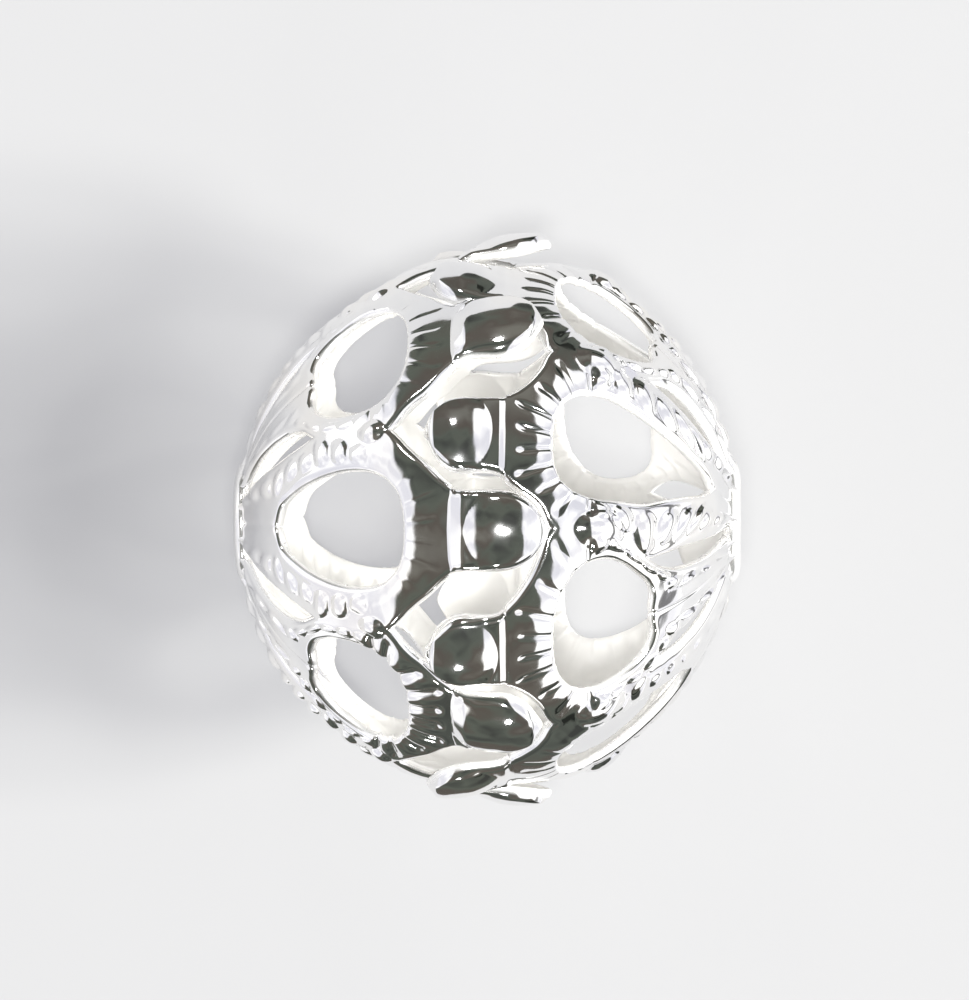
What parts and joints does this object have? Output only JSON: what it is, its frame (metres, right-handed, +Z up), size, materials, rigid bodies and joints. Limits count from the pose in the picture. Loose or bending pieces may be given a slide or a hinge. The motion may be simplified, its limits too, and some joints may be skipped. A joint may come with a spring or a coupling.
{
  "type": "filigree bead",
  "caption": "Round hollow filigree bead of two pierced, stamped half shells whose domed tabs interleave round the middle; thread hole through both ends.",
  "frame": {"origin": "on the surface that the bead lies on, under the middle of the bead", "axes": "+Z up; the thread hole runs along X with its +X end raised by 8.3 degrees, as the bead rests on three tab tips; +Y is across the bead"},
  "size_m": [0.015, 0.016, 0.0158],
  "materials": {
    "plated_metal": "bright silver plate over stamped brass"
  },
  "bodies": {
    "root": {"left_half": "plated_metal", "right_half": "plated_metal"}
  },
  "joints": []
}
